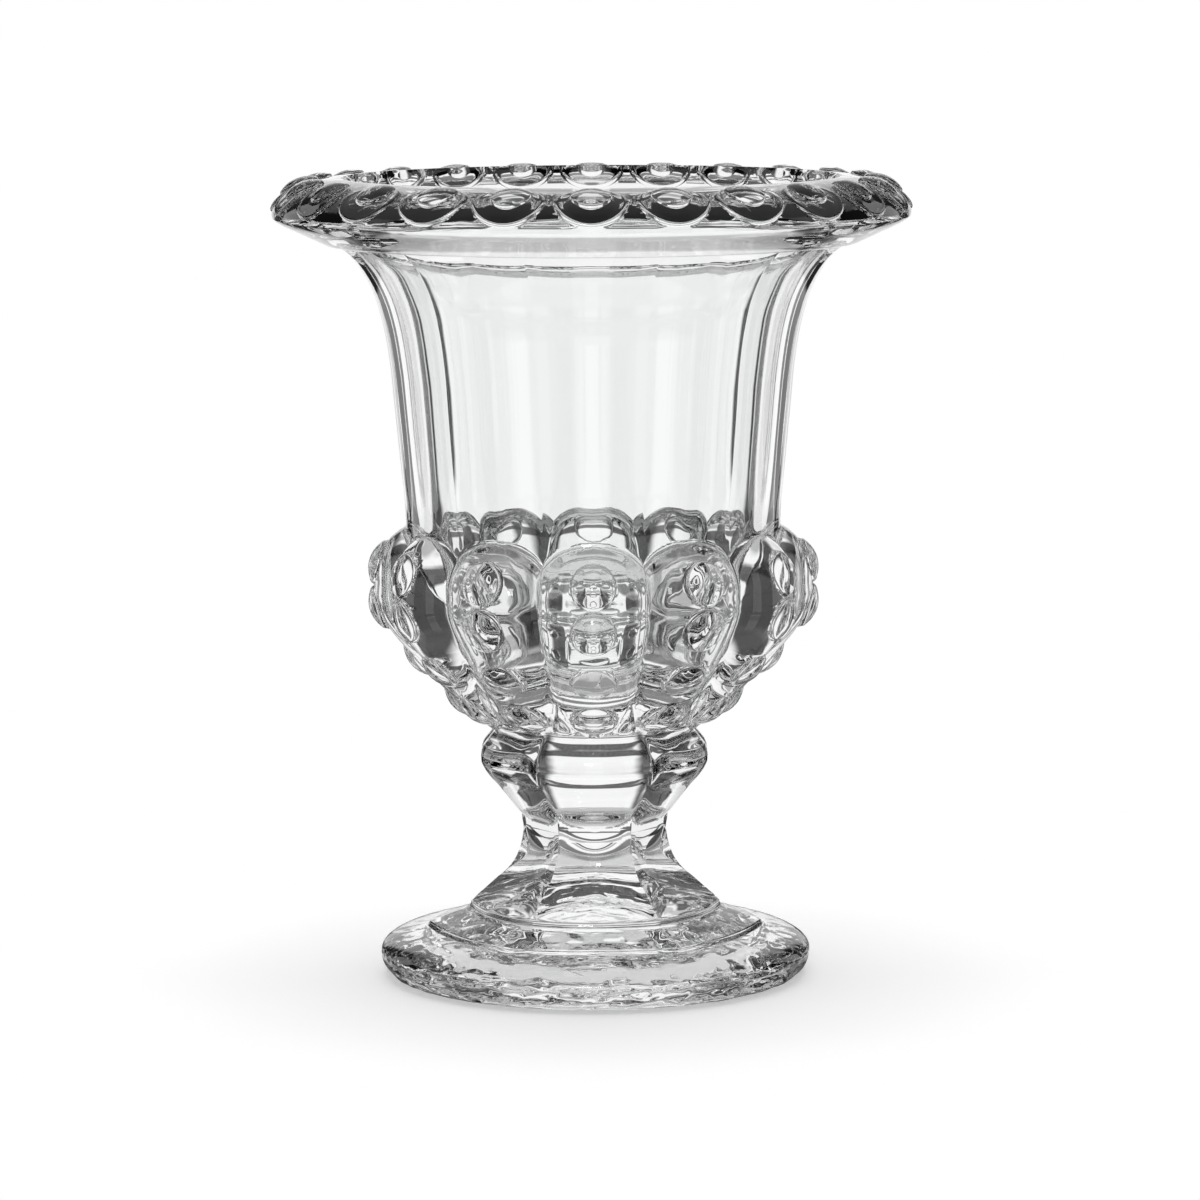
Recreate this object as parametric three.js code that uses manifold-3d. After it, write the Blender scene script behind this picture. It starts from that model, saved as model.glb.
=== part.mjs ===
// Footed urn vase in clear crystal: turned-down mouth ring with round eyes, fluted bowl,
// gadrooned cup with beads, wafer, lobed knop on a six-sided neck, stepped round foot.
// Millimetres, +Z up. The origin is the middle of the ground ring that the vase stands on.
// One eye, one lobe, one knop panel and one face of the foot look along -Y.

import * as THREE from 'three';
import { mergeVertices } from 'three/addons/utils/BufferGeometryUtils.js';
import Module from 'manifold-3d';

const wasm = await Module();
wasm.setup();

// Overall
const CREST_HEIGHT = 249;
const SEAM = 0.3;
const STEPS_ROUND = 48;
const STEPS_FLUTED = 72;
const STEPS_LOBED = 96;

// Mouth ring
const CREST_RADIUS = 77.6;
const RING_RADIUS = 98.6;
const RING_FACE_DROP = 11.2;
const RING_EDGE_ROUND = 2;
const RING_SEAT_DROP = 19.6;
const RING_SEAT_RADIUS = 82.5;

// Eyes on the mouth ring
const EYE_COUNT = 24;
const EYE_RADIUS = 10.9;
const EYE_SQUASH = 0.8;
const EYE_HEIGHT = 0.8;
const EYE_RIM = 0.5;
const EYE_PLACE = 17;
const CABOCHON_RADIUS = 6.3;
const CABOCHON_HEIGHT = 2.5;
const CABOCHON_PLACE = 13.6;

// Bowl
const WALL = 7.4;
const WALL_RADIUS = 61.6;
const WALL_HEIGHT = 180;
const FLUTE_COUNT = 24;
const FLUTE_DEPTH = 0.12;
const FLUTE_FLATNESS = 0.55;
const FLUTE_FADE = 9;
const FLUTE_RUN_IN = 24;
const FLOOR_THICKNESS = 7.5;

// Gadrooned cup
const LOBE_COUNT = 12;
const LOBE_RADIUS = 18.2;
const LOBE_REACH = 68.2;
const LOBE_HALF_WIDTH = 16.2;
const LOBE_GROOVE_DEPTH = 9;
const LOBE_TOP_CENTRE = 124.5;
const LOBE_BEND_CENTRE = 120.5;
const CUP_LIP_HEIGHT = 136;
const BEAD_RADIUS = 7;
const BEAD_HEIGHT = 2;
const BEAD_EDGE = 0.5;
const CUP_FLOOR = 9;

// Wafer
const WAFER_RADIUS = 31.4;
const WAFER_THICKNESS = 1.8;
const WAFER_HEIGHT = 77.2;

// Knop and neck
const KNOP_SIDES = 6;
const KNOP_RADIUS = 36.3;
const KNOP_LOBE_RADIUS = 20;
const KNOP_WIDEST_DROP = 7.1;
const NECK_RADIUS = 22.3;
const NECK_HEIGHT = 45;
const KNOP_FOOT_HEIGHT = 48.2;

// Foot
const FOOT_RADIUS = 67.2;
const FOOT_EDGE_HEIGHT = 7.2;
const GROUND_RING_RADIUS = 61;
const GROUND_RING_WIDTH = 8;
const RECESS_DEPTH = 2.5;
const UPPER_TIER_RADIUS = 38.9;
const UPPER_TIER_HEIGHT = 22.1;
const LOWER_TIER_RADIUS = 52;
const LOWER_TIER_HEIGHT = 16;
const TIER_STEP = 1.4;
const DISC_SHOULDER_RADIUS = 62.7;
const DISC_SHOULDER_HEIGHT = 11.9;
const SCOOP_DEPTH = 1.7;

const glass = {
    rim_collar: 0xe9eeef,
    bowl: 0xeef3f4,
    gadroon_cup: 0xe4eaec,
    joint_wafer: 0xdfe6e8,
    stem_knop: 0xe6ecee,
    foot: 0xebf0f1,
};

// Small helpers

function closedSolid(geometry) {
    const bare = geometry.index ? geometry.toNonIndexed() : geometry.clone();
    bare.deleteAttribute('normal');
    bare.deleteAttribute('uv');
    const merged = mergeVertices(bare, 1e-4);
    const position = merged.attributes.position.array;
    const kept = [];
    const index = merged.index.array;
    let volume = 0;
    for (let i = 0; i < index.length; i += 3) {
        const [a, b, c] = [index[i], index[i + 1], index[i + 2]];
        if (a === b || b === c || c === a) {
            continue;
        }
        kept.push(a, b, c);
        const [p, q, r] = [a, b, c].map((k) => new THREE.Vector3().fromArray(position, 3 * k));
        volume += p.dot(q.cross(r));
    }
    if (volume < 0) {
        kept.reverse();
    }
    return new wasm.Manifold(new wasm.Mesh({
        numProp: 3,
        vertProperties: new Float32Array(position),
        triVerts: new Uint32Array(kept),
    }));
}

function joined(solids) {
    return solids.reduce((whole, solid) => whole.add(solid));
}

function glassMesh(name, solid) {
    const { vertProperties, triVerts } = solid.getMesh();
    const geometry = new THREE.BufferGeometry();
    geometry.setAttribute('position', new THREE.BufferAttribute(new Float32Array(vertProperties), 3));
    geometry.setIndex(new THREE.BufferAttribute(new Uint32Array(triVerts), 1));
    geometry.computeVertexNormals();
    const material = new THREE.MeshStandardMaterial({
        color: glass[name],
        roughness: 0.02,
        metalness: 0,
        transparent: true,
        opacity: 0.25,
    });
    const mesh = new THREE.Mesh(geometry, material);
    mesh.name = name;
    return mesh;
}

// A profile of [radius, height] pairs turned about Z. radiusAt can bend each point.
function turned(profile, steps = STEPS_ROUND, radiusAt = null) {
    const outline = profile.map(([radius, height]) => new THREE.Vector2(radius, height));
    const geometry = new THREE.LatheGeometry(outline, steps);
    geometry.rotateX(Math.PI / 2);
    if (radiusAt) {
        const position = geometry.attributes.position;
        for (let i = 0; i < position.count; i += 1) {
            const x = position.getX(i);
            const y = position.getY(i);
            const radius = Math.hypot(x, y);
            if (radius > 1e-6) {
                const scale = radiusAt(Math.atan2(y, x), radius, position.getZ(i), i) / radius;
                position.setX(i, x * scale);
                position.setY(i, y * scale);
            }
        }
    }
    return closedSolid(geometry);
}

// Smooth run of points through the given [radius, height] pairs.
function smooth(pairs, count) {
    const curve = new THREE.SplineCurve(pairs.map(([r, z]) => new THREE.Vector2(r, z)));
    return curve.getPoints(count).map((p) => [p.x, p.y]);
}

// Quarter-turn arc from one point to another, bulging out from the axis.
function roundEdge(from, to, count, quadrant) {
    const points = [];
    for (let i = 1; i < count; i += 1) {
        const t = (i / count) * (Math.PI / 2);
        const [a, b] = quadrant === 'rising' ? [Math.sin(t), 1 - Math.cos(t)] : [1 - Math.cos(t), Math.sin(t)];
        points.push([from[0] + (to[0] - from[0]) * a, from[1] + (to[1] - from[1]) * b]);
    }
    return points;
}

// Angle from the middle of the nearest of `count` equal sectors, one of which faces -Y.
function offCentre(angle, count, shift = 0) {
    const sector = (2 * Math.PI) / count;
    const turn = angle + Math.PI / 2 + shift;
    return turn - sector * Math.round(turn / sector);
}

// Ratio of a flat-sided outline to the circle through its corners.
function flatSide(off, count) {
    return Math.cos(Math.PI / count) / Math.cos(off);
}

function facing(radius, height, angle) {
    return new THREE.Vector3(radius * Math.sin(angle), -radius * Math.cos(angle), height);
}

// Moves a shape made about Z to a place on the vase: its +Z goes along the tilted normal.
function placed(geometry, [radius, height], [outward, upward], angle) {
    const copy = geometry.clone();
    const normal = facing(outward, upward, angle).normalize();
    copy.applyQuaternion(new THREE.Quaternion().setFromUnitVectors(new THREE.Vector3(0, 0, 1), normal));
    const at = facing(radius, height, angle);
    copy.translate(at.x, at.y, at.z);
    return closedSolid(copy);
}

function dome(radius, edge, height, root, steps) {
    const outline = [
        new THREE.Vector2(0, -root),
        new THREE.Vector2(radius, -root),
        new THREE.Vector2(radius, edge),
        new THREE.Vector2(radius * 0.6, edge + (height - edge) * 0.7),
        new THREE.Vector2(0, height),
    ];
    return new THREE.LatheGeometry(outline, steps).rotateX(Math.PI / 2);
}

// Inside of the vase, from the crest of the mouth down to the floor

const seatHeight = CREST_HEIGHT - RING_SEAT_DROP;
const innerRadius = WALL_RADIUS - WALL;
const cupFloorHeight = WAFER_HEIGHT + WAFER_THICKNESS + SEAM;
const bowlBottom = cupFloorHeight + CUP_FLOOR;
const floorHeight = bowlBottom + FLOOR_THICKNESS;
const seatInnerRadius = innerRadius + 13.7;
const insideLower = [
    ...smooth([
        [0, floorHeight],
        [14, floorHeight + 0.5],
        [26, floorHeight + 2.2],
        [innerRadius - 19, floorHeight + 6.2],
        [innerRadius - 12, floorHeight + 12],
        [innerRadius - 7.5, floorHeight + 20],
        [innerRadius - 4.8, floorHeight + 30],
    ], 6),
    [innerRadius - 2.8, WALL_HEIGHT - 35],
    [innerRadius - 1.6, WALL_HEIGHT - 20],
    [innerRadius, WALL_HEIGHT],
    [innerRadius + 2.3, WALL_HEIGHT + 20],
    [innerRadius + 4.5, WALL_HEIGHT + 30],
    [innerRadius + 7.2, WALL_HEIGHT + 38],
    [innerRadius + 10.8, seatHeight - 4.4],
    [seatInnerRadius, seatHeight],
];

// Mouth ring with its eyes

const faceStart = CREST_RADIUS - 0.8;
const faceBase = CREST_HEIGHT - RING_FACE_DROP;
const edgeHeight = faceBase - RING_EDGE_ROUND;
const faceWidth = RING_RADIUS - faceStart;
const face = new THREE.EllipseCurve(faceStart, faceBase, faceWidth, RING_FACE_DROP, Math.PI / 2, 0, true);
const faceLength = face.getLength();

// Lays a shape made about Z over the ring's face, centred at the given length down it.
function draped(geometry, centre, angle) {
    const copy = geometry.clone();
    const position = copy.attributes.position;
    for (let i = 0; i < position.count; i += 1) {
        const share = THREE.MathUtils.clamp((centre - position.getY(i)) / faceLength, 0, 1);
        const point = face.getPointAt(share);
        const along = face.getTangentAt(share);
        const radius = point.x - along.y * position.getZ(i);
        const height = point.y + along.x * position.getZ(i);
        const at = facing(radius, height, angle + position.getX(i) / radius);
        position.setXYZ(i, at.x, at.y, at.z);
    }
    return closedSolid(copy);
}

const ringBottom = seatHeight + SEAM;
const ringOutline = [
    [seatInnerRadius, ringBottom],
    [RING_SEAT_RADIUS, ringBottom],
    [RING_SEAT_RADIUS + (RING_RADIUS - RING_SEAT_RADIUS) * 0.53, ringBottom + (edgeHeight - ringBottom) * 0.53],
    [RING_RADIUS - 1.4, edgeHeight],
    [RING_RADIUS - 0.25, faceBase - RING_EDGE_ROUND * 0.5],
    ...face.getPoints(7).reverse().map((p) => [p.x, p.y]),
    [CREST_RADIUS - 1.3, CREST_HEIGHT - 1.3],
    [CREST_RADIUS - 1.8, CREST_HEIGHT - 4],
    [CREST_RADIUS - 2.6, CREST_HEIGHT - 8],
    [seatInnerRadius + (CREST_RADIUS - seatInnerRadius) * 0.58, ringBottom + (CREST_HEIGHT - ringBottom) * 0.36],
    [seatInnerRadius, ringBottom],
];
const eyeGeometry = dome(EYE_RADIUS, EYE_RIM, EYE_HEIGHT, 1.2, 12).scale(1, EYE_SQUASH, 1);
const cabochonGeometry = dome(CABOCHON_RADIUS, CABOCHON_HEIGHT * 0.35, CABOCHON_HEIGHT, 1.2, 9);
const eyes = [];
for (let i = 0; i < EYE_COUNT; i += 1) {
    const angle = (2 * Math.PI * i) / EYE_COUNT;
    eyes.push(draped(eyeGeometry, EYE_PLACE, angle));
    eyes.push(draped(cabochonGeometry, CABOCHON_PLACE, angle));
}
const rimCollar = joined([turned(ringOutline), ...eyes]);

// Bowl: flutes outside, smooth inside

const lipRadius = WALL_RADIUS - 3.6;
const bowlOuterLower = smooth([
    [0, bowlBottom],
    [18, bowlBottom + 0.6],
    [31, bowlBottom + 3],
    [41, bowlBottom + 8.5],
    [48, bowlBottom + 16.5],
    [lipRadius - 5.5, bowlBottom + 25],
    [lipRadius - 3.2, bowlBottom + 34],
], 5);
const bowlOuter = [
    ...bowlOuterLower,
    [lipRadius - 1.8, CUP_LIP_HEIGHT - 6],
    [lipRadius, CUP_LIP_HEIGHT],
    [WALL_RADIUS - 3.1, WALL_HEIGHT - 31.3],
    [WALL_RADIUS - 1.8, WALL_HEIGHT - 18.7],
    [WALL_RADIUS, WALL_HEIGHT],
    [WALL_RADIUS + 2.2, WALL_HEIGHT + 18.9],
    [WALL_RADIUS + 3.6, WALL_HEIGHT + 25.5],
    [WALL_RADIUS + 6, WALL_HEIGHT + 33.4],
    [WALL_RADIUS + 10, WALL_HEIGHT + 40.8],
    [WALL_RADIUS + 13.9, seatHeight - 4.2],
    [WALL_RADIUS + 17.5, seatHeight - 1.8],
    [RING_SEAT_RADIUS - 1, seatHeight - 0.4],
    [RING_SEAT_RADIUS - 1, seatHeight],
];

function flutedRadius(angle, radius, height) {
    if (height < CUP_LIP_HEIGHT - 8 || radius < lipRadius - 3) {
        return radius;
    }
    const off = offCentre(angle, FLUTE_COUNT, Math.PI / FLUTE_COUNT);
    const edge = Math.PI / FLUTE_COUNT;
    const flat = THREE.MathUtils.lerp(1, flatSide(off, FLUTE_COUNT), FLUTE_FLATNESS);
    const hollow = radius * flat - FLUTE_DEPTH * (1 - (off / edge) ** 2);
    const top = THREE.MathUtils.clamp((seatHeight - height) / FLUTE_FADE, 0, 1);
    const foot = THREE.MathUtils.clamp((height - CUP_LIP_HEIGHT - 5) / FLUTE_RUN_IN, 0, 1);
    return THREE.MathUtils.lerp(radius, hollow, top * foot);
}

const fullBowl = turned([...bowlOuter, [0, seatHeight]], STEPS_FLUTED, flutedRadius);
const hollow = turned([...insideLower, [seatInnerRadius + 0.75, seatHeight + 2], [0, seatHeight + 2]]);
const bowl = fullBowl.subtract(hollow);

// Gadrooned cup round the lower part of the bowl

const lobeAxis = LOBE_REACH - LOBE_RADIUS;
// Rows of a lobe from its bottom to its top: [radius and height of its axis, slope of its crest].
const lobeRows = [
    [WAFER_RADIUS - 10.9, cupFloorHeight + 11.7, -58],
    [lobeAxis - 24.7, LOBE_BEND_CENTRE - 26, -50],
    [lobeAxis - 18, LOBE_BEND_CENTRE - 19.6, -47],
    [lobeAxis - 11, LOBE_BEND_CENTRE - 12.3, -44],
    [lobeAxis - 4.6, LOBE_BEND_CENTRE - 5.3, -40],
    [lobeAxis - 1, LOBE_BEND_CENTRE - 1.2, -27],
    [lobeAxis, LOBE_BEND_CENTRE, -13],
    [lobeAxis, LOBE_BEND_CENTRE, 0],
    [lobeAxis, LOBE_TOP_CENTRE, 0],
    [lobeAxis, LOBE_TOP_CENTRE, 17],
    [lobeAxis, LOBE_TOP_CENTRE, 33],
    [lobeAxis, LOBE_TOP_CENTRE, 49],
    [lobeAxis, LOBE_TOP_CENTRE, 66],
    [lobeAxis, LOBE_TOP_CENTRE, 84],
];

// A lobe's cross-section, rounded in front and steep at its sides: depth left at a distance to the side.
function lobeDepth(side) {
    const share = side / LOBE_HALF_WIDTH;
    return LOBE_RADIUS - LOBE_GROOVE_DEPTH * (0.7 * share ** 2 + 0.3 * share ** 6);
}

// Point of a lobe's back in the upright plane that lies `off` from its middle.
function lobePoint([axis, height, degrees], off) {
    const tilt = THREE.MathUtils.degToRad(degrees);
    let low = 0;
    let high = 1.5 * LOBE_HALF_WIDTH;
    for (let i = 0; i < 30; i += 1) {
        const side = (low + high) / 2;
        const inside = side < (axis + lobeDepth(side) * Math.cos(tilt)) * Math.tan(off);
        low = inside ? side : low;
        high = inside ? high : side;
    }
    const depth = lobeDepth(low);
    return [(axis + depth * Math.cos(tilt)) / Math.cos(off), height + depth * Math.sin(tilt)];
}

const cupRows = lobeRows.length;
const cupGrid = new THREE.CylinderGeometry(1, 1, 1, STEPS_LOBED, cupRows - 1);
cupGrid.rotateX(Math.PI / 2);
const cupPosition = cupGrid.attributes.position;
for (let i = 0; i < cupPosition.count; i += 1) {
    const x = cupPosition.getX(i);
    const y = cupPosition.getY(i);
    const row = lobeRows[Math.round((0.5 + cupPosition.getZ(i)) * (cupRows - 1))];
    const angle = Math.atan2(y, x);
    const [radius, height] = lobePoint(row, Math.abs(offCentre(angle, LOBE_COUNT)));
    const onAxis = Math.hypot(x, y) < 1e-6;
    cupPosition.setXYZ(i, onAxis ? 0 : radius * Math.cos(angle), onAxis ? 0 : radius * Math.sin(angle), height);
}

// Beads ride on the crest of each lobe: [radius of the lobe's axis, height, slope of the crest].
const beadSeats = [
    [lobeAxis, LOBE_TOP_CENTRE, 17],
    [lobeAxis, LOBE_BEND_CENTRE, -17],
    [lobeAxis - 8.4, LOBE_BEND_CENTRE - 9.5, -43],
    [lobeAxis - 20.6, LOBE_BEND_CENTRE - 22, -46],
];
const beadGeometry = dome(BEAD_RADIUS, BEAD_EDGE, BEAD_HEIGHT, 2, 10);

function beads(angle) {
    return beadSeats.map(([radius, height, degrees]) => {
        const tilt = THREE.MathUtils.degToRad(degrees);
        const normal = [Math.cos(tilt), Math.sin(tilt)];
        const seat = [radius + LOBE_RADIUS * normal[0], height + LOBE_RADIUS * normal[1]];
        return placed(beadGeometry, seat, normal, angle);
    });
}

const cupParts = [closedSolid(cupGrid)];
for (let i = 0; i < LOBE_COUNT; i += 1) {
    cupParts.push(...beads((2 * Math.PI * i) / LOBE_COUNT));
}
const bowlBed = turned([
    ...bowlOuterLower.map(([r, z]) => [r + (r > 0 ? SEAM : 0), z - SEAM]),
    [lipRadius - 1.8 + SEAM, CUP_LIP_HEIGHT - 6],
    [lipRadius + SEAM, CUP_LIP_HEIGHT],
    [lipRadius + 1 + SEAM, CUP_LIP_HEIGHT + 20],
    [0, CUP_LIP_HEIGHT + 20],
]);
const below = new THREE.CylinderGeometry(2 * LOBE_REACH, 2 * LOBE_REACH, 40, 12);
below.rotateX(Math.PI / 2);
below.translate(0, 0, cupFloorHeight - 20);
const gadroonCup = joined(cupParts).subtract(bowlBed).subtract(closedSolid(below));

// Wafer between the cup and the knop

const waferOutline = [
    [0, WAFER_HEIGHT],
    [WAFER_RADIUS - 0.4, WAFER_HEIGHT],
    [WAFER_RADIUS, WAFER_HEIGHT + WAFER_THICKNESS / 2],
    [WAFER_RADIUS - 0.4, WAFER_HEIGHT + WAFER_THICKNESS],
    [0, WAFER_HEIGHT + WAFER_THICKNESS],
];
const jointWafer = turned(waferOutline);

// Knop: six round lobes on the six-sided neck

const knopTop = WAFER_HEIGHT - SEAM;
const knopAxis = KNOP_RADIUS - KNOP_LOBE_RADIUS;
const knopWidestHeight = knopTop - KNOP_WIDEST_DROP;
const knopTaper = knopWidestHeight - KNOP_FOOT_HEIGHT;
// Height of each section and its size as a share of the widest one
const knopSections = [
    [knopTop, 0.887],
    [knopTop - KNOP_WIDEST_DROP * 0.31, 0.937],
    [knopTop - KNOP_WIDEST_DROP * 0.6, 0.98],
    [knopWidestHeight, 1],
    [KNOP_FOOT_HEIGHT + knopTaper * 0.861, 0.989],
    [KNOP_FOOT_HEIGHT + knopTaper * 0.713, 0.937],
    [KNOP_FOOT_HEIGHT + knopTaper * 0.565, 0.857],
    [KNOP_FOOT_HEIGHT + knopTaper * 0.421, 0.788],
    [KNOP_FOOT_HEIGHT + knopTaper * 0.273, 0.719],
    [KNOP_FOOT_HEIGHT + knopTaper * 0.153, 0.661],
    [KNOP_FOOT_HEIGHT + knopTaper * 0.056, 0.592],
    [KNOP_FOOT_HEIGHT, 0.523],
];

function knopLobe(angle) {
    const rows = knopSections.length - 1;
    const geometry = new THREE.CylinderGeometry(1, 1, 1, 20, rows);
    geometry.rotateX(Math.PI / 2);
    const position = geometry.attributes.position;
    for (let i = 0; i < position.count; i += 1) {
        const row = Math.round((0.5 - position.getZ(i)) * rows);
        const [height, share] = knopSections[row];
        const centre = facing(knopAxis * share, height, angle);
        const x = centre.x + position.getX(i) * KNOP_LOBE_RADIUS * share;
        const y = centre.y + position.getY(i) * KNOP_LOBE_RADIUS * share;
        position.setXYZ(i, x, y, height);
    }
    return closedSolid(geometry);
}

const neckSeam = NECK_HEIGHT + SEAM / 2;
const neckCore = turned([
    [0, neckSeam],
    [NECK_RADIUS, neckSeam],
    [NECK_RADIUS + 0.3, KNOP_FOOT_HEIGHT],
    [NECK_RADIUS + 0.7, KNOP_FOOT_HEIGHT + knopTaper * 0.133],
    [NECK_RADIUS + 0.7, knopWidestHeight],
    [0, knopWidestHeight],
], STEPS_ROUND, (angle, radius) => radius * flatSide(offCentre(angle, KNOP_SIDES), KNOP_SIDES));
const knopParts = [neckCore];
for (let i = 0; i < KNOP_SIDES; i += 1) {
    knopParts.push(knopLobe((2 * Math.PI * i) / KNOP_SIDES));
}
const stemKnop = joined(knopParts);

// Foot: six-sided neck spreading in scooped faces to two round tiers and the disc

const neckTop = NECK_HEIGHT - SEAM / 2;
const footOutline = [
    [0, RECESS_DEPTH + 1, 0],
    [GROUND_RING_RADIUS - GROUND_RING_WIDTH - 6, RECESS_DEPTH, 0],
    [GROUND_RING_RADIUS - GROUND_RING_WIDTH, 0, 0],
    [GROUND_RING_RADIUS, 0, 0],
    ...roundEdge([GROUND_RING_RADIUS, 0], [FOOT_RADIUS, FOOT_EDGE_HEIGHT], 4, 'rising').map((p) => [...p, 0]),
    [FOOT_RADIUS, FOOT_EDGE_HEIGHT, 0],
    ...roundEdge([FOOT_RADIUS, FOOT_EDGE_HEIGHT], [DISC_SHOULDER_RADIUS, DISC_SHOULDER_HEIGHT], 3, 'falling')
        .map((p) => [...p, 0]),
    [DISC_SHOULDER_RADIUS, DISC_SHOULDER_HEIGHT, 0],
    [LOWER_TIER_RADIUS + 0.6, LOWER_TIER_HEIGHT - TIER_STEP, 0],
    [LOWER_TIER_RADIUS, LOWER_TIER_HEIGHT, 0],
    [LOWER_TIER_RADIUS - 4, LOWER_TIER_HEIGHT + 1.5, 0.35],
    [LOWER_TIER_RADIUS - 8, LOWER_TIER_HEIGHT + 3, 0.4],
    [UPPER_TIER_RADIUS + 0.6, UPPER_TIER_HEIGHT - TIER_STEP, 0],
    [UPPER_TIER_RADIUS, UPPER_TIER_HEIGHT, 0],
    [UPPER_TIER_RADIUS - 1.6, UPPER_TIER_HEIGHT + 2.3, 0.45],
    [NECK_RADIUS + 12.3, UPPER_TIER_HEIGHT + 4.2, 0.9],
    [NECK_RADIUS + 8.5, UPPER_TIER_HEIGHT + 7.6, 1],
    [NECK_RADIUS + 5.2, UPPER_TIER_HEIGHT + 10.4, 1],
    [NECK_RADIUS + 2.6, UPPER_TIER_HEIGHT + 13.8, 1],
    [NECK_RADIUS + 0.9, NECK_HEIGHT - 4.8, 1],
    [NECK_RADIUS, neckTop, 1],
    [0, neckTop, 1],
];
const foot = turned(
    footOutline.map(([radius, height]) => [radius, height]),
    STEPS_ROUND,
    (angle, radius, height, i) => {
        const flat = footOutline[i % footOutline.length][2];
        const off = offCentre(angle, KNOP_SIDES);
        const rise = THREE.MathUtils.clamp((height - UPPER_TIER_HEIGHT) / (neckTop - UPPER_TIER_HEIGHT), 0, 1);
        const scoop = SCOOP_DEPTH * flat * Math.sin(Math.PI * rise) * (1 - (off * KNOP_SIDES / Math.PI) ** 2);
        return radius * THREE.MathUtils.lerp(1, flatSide(off, KNOP_SIDES), flat) - scoop;
    },
);

const vase = new THREE.Group();
vase.name = 'glass_vase';
vase.add(
    glassMesh('rim_collar', rimCollar),
    glassMesh('bowl', bowl),
    glassMesh('gadroon_cup', gadroonCup),
    glassMesh('joint_wafer', jointWafer),
    glassMesh('stem_knop', stemKnop),
    glassMesh('foot', foot),
);

export default vase;
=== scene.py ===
"""Looks for the clear crystal urn vase: one add-on that models the glass and sets the studio."""

import math

import bpy
from bpy.props import FloatProperty, IntProperty, PointerProperty
from mathutils import Matrix, Quaternion, Vector, noise


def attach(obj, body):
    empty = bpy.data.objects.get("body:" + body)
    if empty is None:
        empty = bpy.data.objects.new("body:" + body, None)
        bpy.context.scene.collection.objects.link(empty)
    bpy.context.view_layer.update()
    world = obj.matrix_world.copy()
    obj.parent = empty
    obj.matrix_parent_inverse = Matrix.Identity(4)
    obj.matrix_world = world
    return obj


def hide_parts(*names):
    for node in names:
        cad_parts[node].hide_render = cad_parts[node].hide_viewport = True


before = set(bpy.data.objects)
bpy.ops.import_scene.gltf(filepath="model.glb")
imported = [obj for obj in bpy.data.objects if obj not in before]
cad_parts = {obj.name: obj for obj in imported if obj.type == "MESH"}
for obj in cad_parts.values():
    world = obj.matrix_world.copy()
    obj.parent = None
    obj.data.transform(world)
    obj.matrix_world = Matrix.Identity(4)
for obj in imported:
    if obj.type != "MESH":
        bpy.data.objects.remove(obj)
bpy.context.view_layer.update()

bl_info = {
    "name": "Crystal urn vase",
    "version": (1, 0, 0),
    "blender": (4, 5, 0),
    "location": "3D Viewport > Sidebar > Vase",
    "description": "Models a footed crystal vase over its CAD frame and sets up the studio",
    "category": "Object",
}

MM = 0.001
TAU = 2 * math.pi

# Bosses: (share of the radius, height in mm), from the middle out to the foot
EYE_STATIONS = (
    (0, 0.55), (0.6, 0.55), (0.76, 0.45), (0.84, 0.6), (0.9, 0.72), (0.95, 0.62), (1, 0.3), (1.02, 0),
)
PUPIL_STATIONS = (
    (0, 2.3), (0.2, 2.25), (0.4, 2.1), (0.57, 1.86), (0.72, 1.58), (0.84, 1.3), (0.92, 1.1),
    (0.97, 0.8), (1, 0.4), (1.02, 0),
)
BEAD_STATIONS = (
    (0, 2.4), (0.2, 2.34), (0.4, 2.16), (0.57, 1.9), (0.72, 1.6), (0.84, 1.3), (0.92, 1.05),
    (0.97, 0.8), (1, 0.4), (1.02, 0),
)
BOSS_DEPTH = 1.0
EYE_SQUASH = 0.8
# Places of a disc and its pupil, in mm down the ring's face from the crest
EYE_PLACE = 17.0
PUPIL_PLACE = 13.6
RING_FACE_DROP = 11.2
# Steps round each boss
EYE_STEPS = 44
PUPIL_STEPS = 34
BEAD_STEPS = 24
# Across the lobe that carries it, a bead lies on this radius
BEAD_CURVE_ACROSS = 22

# Sections of a lobe: half width, drop at the edge, share of the round part, power of the steep part
CUP_SECTION = (0.89, 0.4945, 0.70, 6)
KNOP_SECTION = (0.65, 0.32, 0.6, 8)
# Shares of a panel's reach that go to its centre and to its radius
KNOP_SHARES = (0.23, 0.77)
KNOP_CROWDING = 0.6
KNOP_FILLET = 1.0
LOBE_CROWDING = 0.8
LOBE_FILLET = 1.1
# The cup's lobes: the bend of their middle line, where they turn in at the top, and their lowest height
CUP_BEND = 120.5
CUP_TOP = 124.5
CUP_BOTTOM = 79.3
FLUTE_FLATNESS = 0.55
INSIDE_FLOOR = 95.8
NECK_APOTHEM = 22.3
FOOT_SCOOP = 2.7

# Unevenness of the pressed glass, with heights in metres: (height, share of the swirl)
SWIRL_TOP = 0.25
SWIRL_STRETCH = 0.45
DISC_EDGE_TOP = 0.012
DISC_SWIRL_SQUEEZE = 2.0
SWIRL_BY_HEIGHT = (
    (0.009, 0.9), (0.014, 0.08), (0.080, 0.06), (0.088, 0.13), (0.140, 0.13), (0.152, 0.01),
    (0.222, 0.01), (0.234, 0.12),
)
GLASS_IOR = 1.54
GLASS_SHADOW = (0.6, 0.6, 0.6, 1)

# The tent: cards round the vase with dark gaps, a wide card behind it and a soft ceiling
CARD_TURN = math.radians(45)
CARD_EDGE = (math.radians(8.5), math.radians(10.5))
BACK_CARD_EDGE = (math.radians(16), math.radians(22))
GAP_LIGHT = 0.06
CARD_TOP = (0.45, 0.53)
CEILING_LIGHT = (0.5, 0.6)
ROOM_EDGE = (-0.35, -0.05)
ROOM_LIGHT = 0.8
GLASS_BOUNCES = 24
GLINT_BOUNCES = 4

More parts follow.
